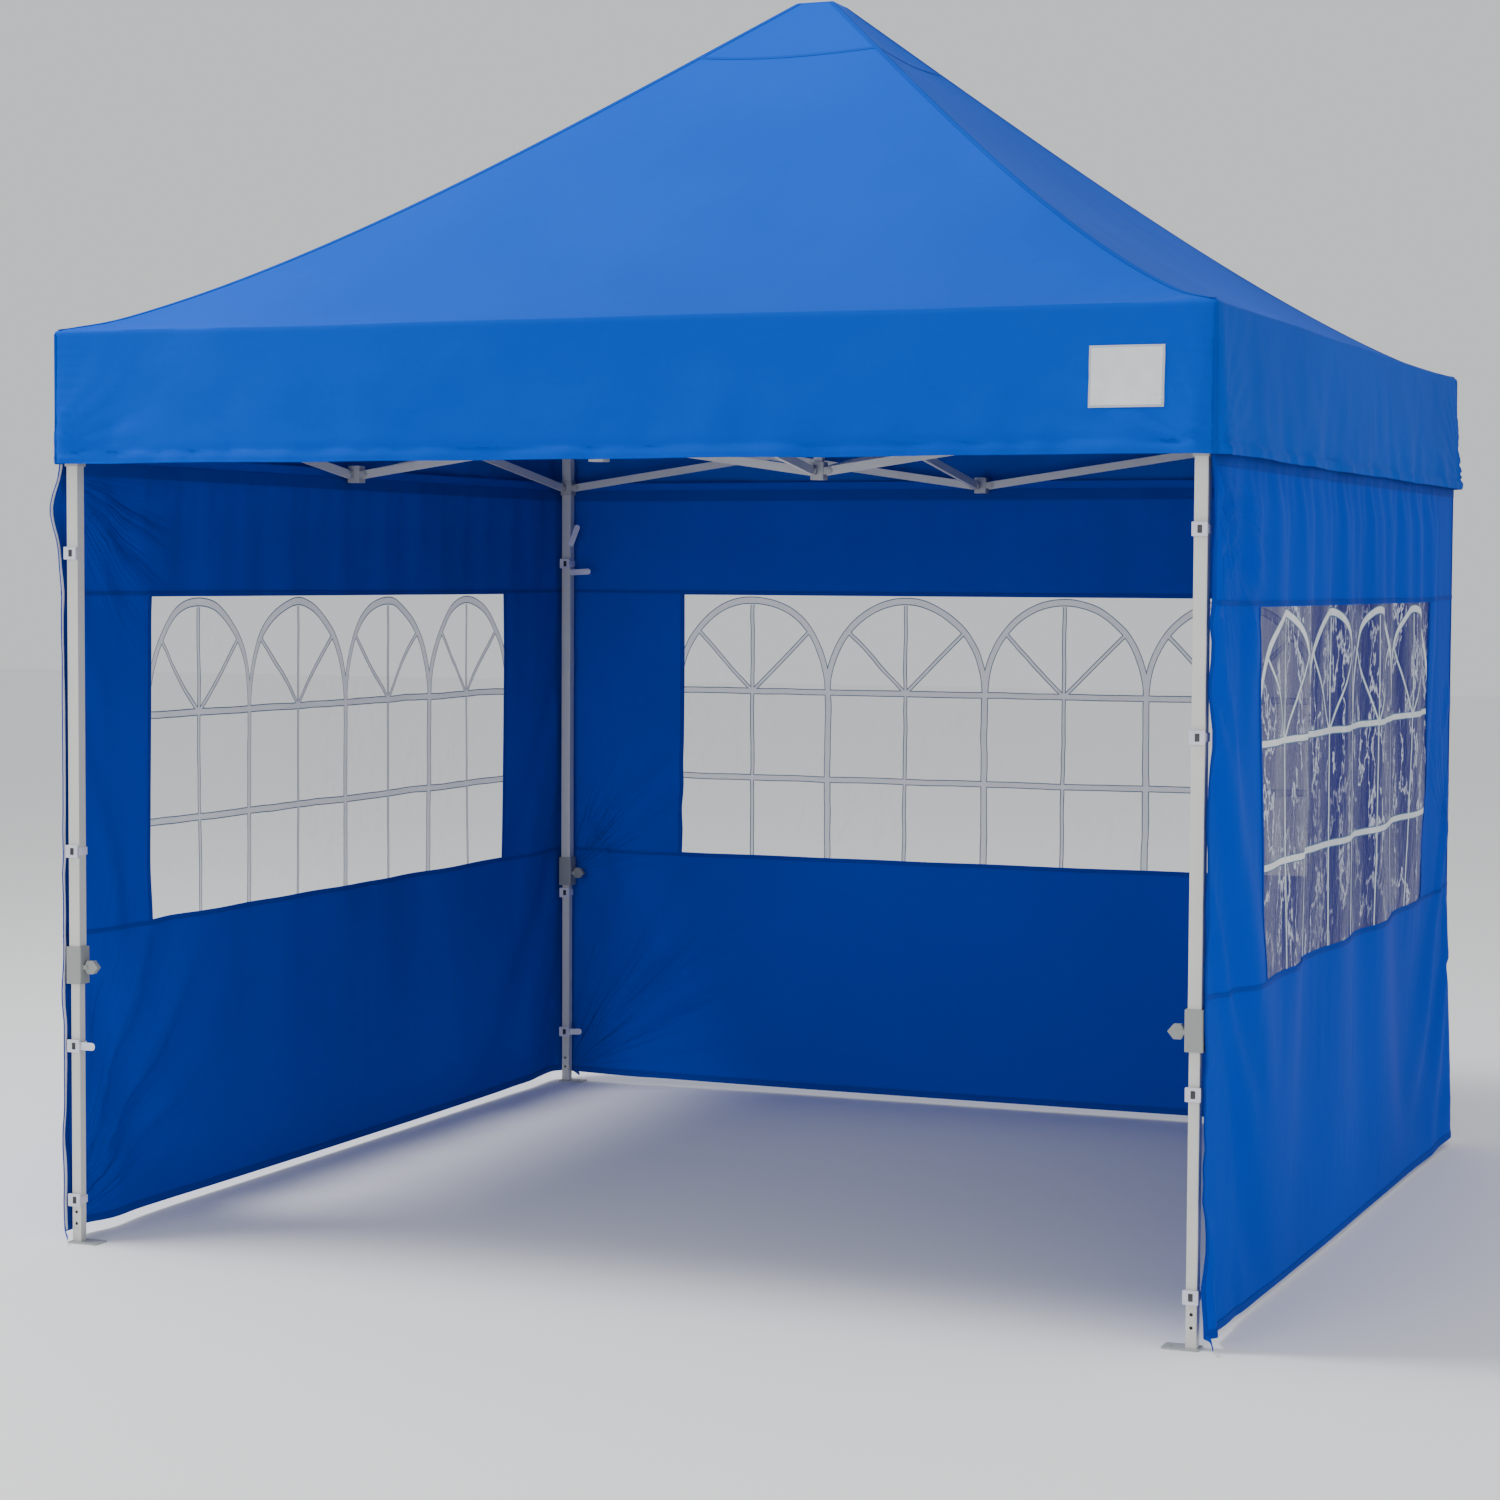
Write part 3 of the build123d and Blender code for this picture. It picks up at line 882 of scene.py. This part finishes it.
def makePatch():
    # a plain pale patch with a stitched border, sewn to the front valance
    look = roofSet["patch"]
    made = []
    for inset, lift, material in ((0.0, 0.0, patchBorder), (look["frame"], 0.0007, patchVinyl)):
        xs = np.linspace(look["low"][0] + inset, look["high"][0] - inset, 15)
        zs = np.linspace(look["low"][1] + inset, look["high"][1] - inset, 13)

        def place(column, row):
            x = xs[column] / clothHalf
            return valanceAt(x, -np.ones_like(x), x * 0, x * 0 - 1, eaveZ - zs[row], look["lift"] + lift)

        part = gridSheet("patch", len(xs) - 1, len(zs) - 1, place)
        applyModifier(part, "SOLIDIFY", "thickness", thickness=0.0009, offset=0.0)
        fairShade(part, material)
        made.append(part)
    patch = joinAll(made, "blankPatch")
    return patch


canopyTop = makeCanopyTop()
roofSeams = makeRoofSeams()
blankPatch = makePatch()
for piece in (canopyTop, roofSeams, blankPatch):
    followFrame(piece, "upper_hub", roofShareOf)
print("canopy top made")


# Walls

wallSet = {
    "half": 1.490,
    "low": 0.030,
    "high": 2.030,
    "windowLow": 0.800,
    "windowHigh": 1.660,
    "windowHalf": 1.055,
    "slack": {"left": -0.0045, "right": -0.011, "back": -0.0045},
    "frames": 36,
    "seed": {"left": 3.0, "right": 8.0, "back": 15.0},
    "thickness": 0.0008,
    "nearLeg": 0.22,
    "inLimit": {"left": 0.007, "right": 0.007, "back": 0.003},
    "outLimit": 0.055,
    "legLimit": 0.0003,
    "bow": 0.013,
    "clearOfGround": 0.014,
    "startWave": 0.012,
    "edgeBulge": {"left": 0.034, "right": 0.0068},
    "edgeWiggle": 0.014,
    "edgePull": 0.006,
    "bandLift": 0.0016,
    "bandWidth": 0.012,
    "fans": {
        "left": (
            (1.49, 0.03, -1, 0.85, 0.42, 22.0, 0.026, 1.05),
            (1.49, 1.98, -1, -0.55, 0.3, 22.0, 0.008, 0.6),
        ),
        "back": (
            (1.49, 0.70, -1, 0.80, 0.40, 22.0, 0.018, 0.62),
            (1.49, 0.03, -1, 0.8, 0.40, 19.0, 0.020, 0.95),
            (-1.49, 1.98, 1, -0.45, 0.3, 20.0, 0.012, 1.1),
        ),
        "right": (
            (-1.49, 2.00, 1, -0.9, 0.40, 20.0, 0.011, 0.65),
            (1.49, 0.90, -1, 1.1, 0.3, 18.0, 0.008, 0.5),
        ),
    },
    "ties": {
        "right": ((-1.486, 0.036, -0.6, -0.25, 0.5, 0.050),),
        "back": ((1.484, 0.040, -0.8, -0.22, 0.12, 0.055),),
        "left": ((1.486, 0.040, 0.5, -0.25, -0.4, 0.045),),
    },
}


def wallColumns():
    look = wallSet
    edge, window = look["half"], look["windowHalf"]
    return spread((-edge, -window, 12), (-window, window, 52), (window, edge, 12))


def wallRows():
    look = wallSet
    return spread((look["low"], look["windowLow"], 20), (look["windowLow"], look["windowHigh"], 22),
                  (look["windowHigh"], look["high"], 10))


def hangWall(name):
    # the whole wall as one cloth, held along its top and at the clips, and left to sag into its folds
    look = wallSet
    outward = Vector((*sides[name], 0))
    along = Vector((-outward.y, outward.x, 0))
    across, up = wallColumns(), wallRows()

    def place(column, row):
        u, v = across[column], up[row]
        flatPoints = np.column_stack((u, v, u * 0 + look["seed"][name]))
        start = ripple(flatPoints, 2.2, look["seed"][name]) * look["startWave"]
        x = along.x * u + outward.x * (wallPlane + start)
        y = along.y * u + outward.y * (wallPlane + start)
        return np.column_stack((x, y, v))

    sheet = gridSheet(name + "WallCloth", len(across) - 1, len(up) - 1, place)
    held = sheet.vertex_groups.new(name="held")
    for vertex in sheet.data.vertices:
        u = vertex.co.dot(along)
        atTop = vertex.co.z > look["high"] - 0.001
        atEdge = abs(u) > look["half"] - 0.001
        if atTop or atEdge:
            held.add([vertex.index], 1.0, "REPLACE")
            vertex.co += outward * (wallPlane - vertex.co.dot(outward))
    pick(sheet)
    cloth = sheet.modifiers.new("hang", "CLOTH")
    cloth.settings.quality = 5
    cloth.settings.mass = 0.18
    cloth.settings.tension_stiffness = 40
    cloth.settings.compression_stiffness = 40
    cloth.settings.shear_stiffness = 12
    cloth.settings.bending_stiffness = 0.9
    cloth.settings.air_damping = 2.0
    cloth.settings.shrink_min = look["slack"][name]
    cloth.settings.vertex_group_mass = "held"
    cloth.collision_settings.use_collision = False
    cloth.collision_settings.use_self_collision = False
    frames = look["frames"]
    cloth.point_cache.frame_end = frames + 1
    for step in range(1, frames + 1):
        bpy.context.scene.frame_set(step)
    bpy.ops.object.modifier_apply(modifier="hang")
    bpy.context.scene.frame_set(1)
    settleWall(sheet, outward, along, name)
    return sheet, outward, along


def fanFolds(name, u, z):
    # soft folds from the pulled corners: each fan gives its corner's place along and up, the way inward,
    # its middle angle and breadth, the count of folds, their depth and their reach
    total = 0.0
    for startU, startZ, way, middle, breadth, count, depth, reach in wallSet["fans"][name]:
        sideways, up = (u - startU) * way, z - startZ
        angle = math.atan2(up, sideways)
        strength = math.sin(min(math.hypot(sideways, up) / reach, 1) * math.pi)
        total += depth * strength * math.exp(-((angle - middle) / breadth) ** 2) * math.sin(angle * count)
    return total


def settleWall(sheet, outward, along, name):
    # keeps the folds clear of the legs, the trusses and the valance, and off the ground
    look = wallSet
    frontEdge = {"left": 1, "right": -1}.get(name, 0)
    for vertex in sheet.data.vertices:
        u = vertex.co.dot(along)
        z = vertex.co.z
        out = vertex.co.dot(outward) - wallPlane + fanFolds(name, u, z)
        fromLeg = min(max((look["half"] - abs(u) - look["nearLeg"]) / 0.12, 0), 1)
        fromTop = min(max((look["high"] - 0.06 - z) / 0.10, 0), 1)
        free = min(fromLeg, fromTop)
        out += look["bow"] * free
        inLimit = look["legLimit"] + (look["inLimit"][name] - look["legLimit"]) * free
        outLimit = look["outLimit"] * min(1, max(0.02, (look["high"] - 0.04 - z) / 0.10))
        out = outLimit * math.tanh(out / outLimit) if out > 0 else inLimit * math.tanh(out / inLimit)
        if frontEdge:
            toEdge = look["half"] - frontEdge * u
            bulge = math.sin(math.pi * min(max((z - 1.77) / 0.22, 0), 1)) ** 2
            ease = math.exp(-(toEdge / 0.05) ** 2)
            out += look["edgeBulge"][name] * bulge * ease
            wiggle = noise.noise(Vector((look["seed"][name], z * 7.0, 0.3)))
            pull = look["edgePull"] * math.exp(-(toEdge / 0.06) ** 2)
            out += look["edgeWiggle"] * ease * abs(wiggle) - pull
            u -= frontEdge * look["edgeWiggle"] * ease * max(0.0, wiggle)
        u = max(-look["half"], min(look["half"], u))
        z = max(look["clearOfGround"], z)
        vertex.co = along * u + outward * (wallPlane + out) + Vector((0, 0, z))


def sheetField(sheet, outward, along):
    # the settled wall as arrays over its own columns and rows
    across, up = wallColumns(), wallRows()
    mesh = sheet.data
    uv = np.zeros(len(mesh.loops) * 2)
    mesh.uv_layers["UVMap"].data.foreach_get("uv", uv)
    uv = uv.reshape(-1, 2)
    corner = np.zeros(len(mesh.loops), int)
    mesh.loops.foreach_get("vertex_index", corner)
    column = np.zeros(len(mesh.vertices), int)
    row = np.zeros(len(mesh.vertices), int)
    column[corner] = np.rint(uv[:, 0] * (len(across) - 1)).astype(int)
    row[corner] = np.rint(uv[:, 1] * (len(up) - 1)).astype(int)
    flat = np.zeros(len(mesh.vertices) * 3)
    mesh.vertices.foreach_get("co", flat)
    field = np.zeros((len(up), len(across), 3))
    field[row, column] = flat.reshape(-1, 3)
    straight = {"outward": np.array(outward), "along": np.array(along)}
    return {"across": across, "up": up, "field": field, **straight}


def onWall(wall, u, v, lift=0.0):
    # points on the settled wall at flat places u along it and v up it, lifted off its face
    column = np.interp(u, wall["across"], np.arange(len(wall["across"])))
    row = np.interp(v, wall["up"], np.arange(len(wall["up"])))
    field = wall["field"]
    low = np.clip(np.floor(row).astype(int), 0, field.shape[0] - 2)
    part = row - low
    points = np.zeros((len(u), 3))
    offsets = ((-1, -0.5 * part + part ** 2 - 0.5 * part ** 3),
               (0, 1 - 2.5 * part ** 2 + 1.5 * part ** 3),
               (1, 0.5 * part + 2 * part ** 2 - 1.5 * part ** 3),
               (2, -0.5 * part ** 2 + 0.5 * part ** 3))
    left = np.clip(np.floor(column).astype(int), 0, field.shape[1] - 2)
    share = column - left
    columnOffsets = ((-1, -0.5 * share + share ** 2 - 0.5 * share ** 3),
                     (0, 1 - 2.5 * share ** 2 + 1.5 * share ** 3),
                     (1, 0.5 * share + 2 * share ** 2 - 1.5 * share ** 3),
                     (2, -0.5 * share ** 2 + 0.5 * share ** 3))
    for rowStep, rowWeight in offsets:
        rowIndex = np.clip(low + rowStep, 0, field.shape[0] - 1)
        for columnStep, columnWeight in columnOffsets:
            columnIndex = np.clip(left + columnStep, 0, field.shape[1] - 1)
            points += field[rowIndex, columnIndex] * (rowWeight * columnWeight)[:, None]
    return points + wall["outward"] * lift


def wallPatch(wall, name, uPlaces, vPlaces, lift=0.0):
    def place(column, row):
        return onWall(wall, uPlaces[column], vPlaces[row], lift)
    return gridSheet(name, len(uPlaces) - 1, len(vPlaces) - 1, place)


def tieTape(wall, u, v, alongStep, upStep, outStep, length):
    # a short tape that hangs from a lower corner of the wall and curls a little
    start = onWall(wall, np.array([u]), np.array([v]))[0]
    heading = wall["along"] * alongStep + wall["outward"] * outStep + np.array((0, 0, upStep))
    heading = heading / np.linalg.norm(heading)
    steps = 10

    def place(column, row):
        share = row / steps
        curl = np.sin(share * math.pi * 1.3) * 0.004
        line = start + heading * (share * length)[:, None]
        line[:, 2] += (column - 0.5) * 0.011 + curl
        line[:, 2] = np.maximum(line[:, 2], 0.013)
        return line + wall["outward"] * (curl * 0.8)[:, None]

    return gridSheet("tie", 1, steps, place)


def makeWall(name):
    look = wallSet
    sheet, outward, along = hangWall(name)
    wall = sheetField(sheet, outward, along)
    bpy.data.objects.remove(sheet)
    body = "upper_bracket_" + name
    edge, window = look["half"], look["windowHalf"]
    left = spread((-edge, -window, 24))
    middle = spread((-window, window, 104))
    right = spread((window, edge, 24))
    low = spread((look["low"], look["windowLow"], 40))
    centre = spread((look["windowLow"], look["windowHigh"], 44))
    high = spread((look["windowHigh"], look["high"], 20))
    whole = np.concatenate((left, middle[1:], right[1:]))
    panels = [
        wallPatch(wall, "lowPanel", whole, low),
        wallPatch(wall, "leftPanel", left, centre),
        wallPatch(wall, "rightPanel", right, centre),
        wallPatch(wall, "highPanel", whole, high),
    ]
    cloth = joinAll(panels, name + "Wall")
    mergeDoubles(cloth)
    applyModifier(cloth, "SOLIDIFY", "thickness", thickness=look["thickness"], offset=0.0)
    # wall cloth in the darker wall colour, which holds painted shade
    fairShade(cloth, clothFinish(name + "WallCloth", clothLook["wallShadedColour"], name))
    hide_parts("wall_" + name)

    film = wallPatch(wall, name + "Window", middle, centre, -0.0008)
    # the right window gets the film with the dark painted shade of the room behind it
    fairShade(film, rumpledFilmPaintedShade if name == "right" else clearFilm)

    bands = []
    inside = -look["bandLift"]
    bandRows = (
        (look["high"] - 0.060, look["high"] - 0.026),
        (look["windowHigh"] + 0.003, look["windowHigh"] + 0.014),
        (look["windowLow"] - 0.014, look["windowLow"] - 0.003),
        (look["low"], look["low"] + 0.022),
    )
    for bottom, top in bandRows:
        for lift in (inside, -inside):
            bands.append(wallPatch(wall, "band", whole, np.array([bottom, (bottom + top) / 2, top]), lift))
    for u in (-edge, -window - 0.014, window + 0.002, edge - 0.018):
        tall = np.concatenate((low[::2], centre[2::2], high[2::2])) if abs(u) > window + 0.1 else centre[::2]
        for lift in (inside * 0.9, -inside * 0.9):
            bands.append(wallPatch(wall, "band", np.array([u, u + look["bandWidth"]]), tall, lift))
    bands += [tieTape(wall, *tie) for tie in look["ties"][name]]
    trim = joinAll(bands, name + "WallSeams")
    applyModifier(trim, "SOLIDIFY", "thickness", thickness=0.0007, offset=0.0)
    fairShade(trim, bandCloth)

    width, height = 2 * edge, look["high"] - look["low"]
    windowArea = 2 * window * (look["windowHigh"] - look["windowLow"])
    width * height - windowArea
    for piece in (cloth, film, trim):
        followFrame(piece, body)
    if name == "left":
        makeZipTape(wall, name, body)


def makeZipTape(wall, name, body):
    # the pale zip tape down the front edge
    look = wallSet
    heights = np.linspace(look["low"] + 0.006, look["high"] - 0.035, 110)
    places = look["half"] - np.array((0.011, 0.0055, 0.0))
    tapes = [wallPatch(wall, "tape", places, heights, lift) for lift in (0.0026, -0.0026)]
    tape = joinAll(tapes, name + "ZipTape")
    applyModifier(tape, "SOLIDIFY", "thickness", thickness=0.0009, offset=0.0)
    fairShade(tape, whiteWebbing)
    followFrame(tape, body)


windowSize = (2 * wallSet["windowHalf"], wallSet["windowHigh"] - wallSet["windowLow"])
# both films carry painted reflection streaks, faint on the clear film and strong on the right window
clearFilm = filmFinish("clearFilm", *windowSize, 0.07, 0.06, (0.75, 0.80, 0.88, 1))
# right window: a nearly opaque dark blue sheet as painted shade of the room behind the clear film
rumpledFilmPaintedShade = filmFinish("rumpledFilmPaintedShade", *windowSize, 0.86, 1.0, (0.022, 0.024, 0.17, 1))
for name in ("left", "right", "back"):
    makeWall(name)
print("walls hung")


# Straps, clips and tabs that hold the walls to the legs

tieSet = {
    "upperSide": 0.032,
    "lowerSide": 0.0262,
    "gap": 0.0012,
    "strapHeight": 0.020,
    "strapThickness": 0.0016,
    "clip": (0.036, 0.009, 0.032),
    "slot": 0.0125,
    "heights": {
        "front_left": (1.77, 1.01, 0.51, 0.112),
        "front_right": (1.83, 1.37, 0.575, 0.120),
        "back_left": (1.76, 0.645, 0.17),
        "back_right": (1.83, 0.575, 0.12),
    },
    "tabs": {
        "front_left": ((0.51, 0.045, 0),),
        "back_left": ((1.82, 0.075, 68), (1.73, 0.075, 3), (0.17, 0.048, 4)),
    },
}


def centreOf(corner):
    signX, signY = corners[corner]
    return legCentre * signX, legCentre * signY


def finishHard(piece, width, segments=2):
    applyModifier(piece, "BEVEL", "round", width=width, segments=segments, limit_method="ANGLE")


def makeCube(name, centre, size):
    deselectAll()
    bpy.ops.mesh.primitive_cube_add(size=1, location=centre, scale=size)
    bpy.ops.object.transform_apply(location=True, rotation=True, scale=True)
    bpy.context.object.name = name
    return bpy.context.object


def legSide(height):
    return tieSet["upperSide"] if height > housingLow else tieSet["lowerSide"]


def unmark(mesh):
    for part in (mesh.vertices, mesh.edges, mesh.polygons):
        for item in part:
            item.select = False


def openEnds(piece, test):
    # takes away the faces that the test picks
    mesh = piece.data
    unmark(mesh)
    for face in mesh.polygons:
        face.select = test(face)
    bpy.ops.object.mode_set(mode="EDIT")
    bpy.ops.mesh.select_mode(type="FACE")
    bpy.ops.mesh.delete(type="FACE")
    bpy.ops.object.mode_set(mode="OBJECT")


def strapRound(corner, height):
    look = tieSet
    x, y = centreOf(corner)
    side = legSide(height)
    side += 2 * look["gap"]
    strap = makeCube("strap", (x, y, height), (side, side, look["strapHeight"]))
    openEnds(strap, lambda face: abs(face.normal.z) > 0.9)
    applyModifier(strap, "SOLIDIFY", "thickness", thickness=look["strapThickness"], offset=1.0)
    finishHard(strap, 0.0006)
    return strap


def clipOn(corner, height):
    look = tieSet
    x, y = centreOf(corner)
    side = legSide(height)
    wide, deep, tall = look["clip"]
    front = y - side / 2 - look["gap"] - look["strapThickness"] - deep / 2 - 0.0004
    clip = makeCube("clip", (x, front, height), (wide, deep, tall))
    mesh = clip.data
    unmark(mesh)
    for face in mesh.polygons:
        face.select = face.normal.y < -0.9
    bpy.ops.object.mode_set(mode="EDIT")
    bpy.ops.mesh.select_mode(type="FACE")
    bpy.ops.mesh.inset(thickness=look["slot"], depth=-0.0035)
    bpy.ops.transform.resize(value=(1, 1, 2.6))
    bpy.ops.object.mode_set(mode="OBJECT")
    clip.data.materials.append(clipPlastic)
    # the slot's inset face gets the near-black painted shade
    clip.data.materials.append(slotPaintedShade)
    for face in clip.data.polygons:
        face.material_index = 1 if face.select else 0
    finishHard(clip, 0.0011)
    pick(clip)
    bpy.ops.object.shade_smooth_by_angle(angle=math.radians(40))
    return clip


def tabOn(corner, height, length, tilt):
    # a round-ended tongue of the strap that sticks out past its clip
    look = tieSet
    x, y = centreOf(corner)
    side = legSide(height)
    start = x + side / 2 + look["gap"]
    front = y - side / 2 - look["gap"] - 0.001
    tall = look["strapHeight"]
    tab = makeCube("tab", (start + length / 2, front, height), (length, 0.0022, tall))
    mesh = tab.data
    unmark(mesh)
    for edge in mesh.edges:
        ends = [mesh.vertices[index].co for index in edge.vertices]
        atTip = all(end.x > start + length - 0.0001 for end in ends)
        edge.select = atTip and abs(ends[0].z - ends[1].z) < 0.0001
    bpy.ops.object.mode_set(mode="EDIT")
    bpy.ops.mesh.select_mode(type="EDGE")
    bpy.ops.mesh.bevel(offset=tall * 0.46, segments=6)
    bpy.ops.mesh.select_all(action="SELECT")
    root = (start, front, height)
    bpy.ops.transform.rotate(value=math.radians(tilt), orient_axis="Y", center_override=root)
    bpy.ops.object.mode_set(mode="OBJECT")
    finishHard(tab, 0.0005)
    return tab


def makeTies():
    look = tieSet
    for corner, heights in look["heights"].items():
        straps = [strapRound(corner, height) for height in heights]
        straps += [tabOn(corner, *tab) for tab in look["tabs"].get(corner, ())]
        strap = joinAll(straps, "wallStraps" + "".join(part.title() for part in corner.split("_")))
        fairShade(strap, whiteWebbing, 40)
        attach(strap, "outer_leg_" + corner)
        clips = [clipOn(corner, height) for height in heights]
        clip = joinAll(clips, "wallClips" + "".join(part.title() for part in corner.split("_")))
        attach(clip, "outer_leg_" + corner)


makeTies()
print("straps and clips made")
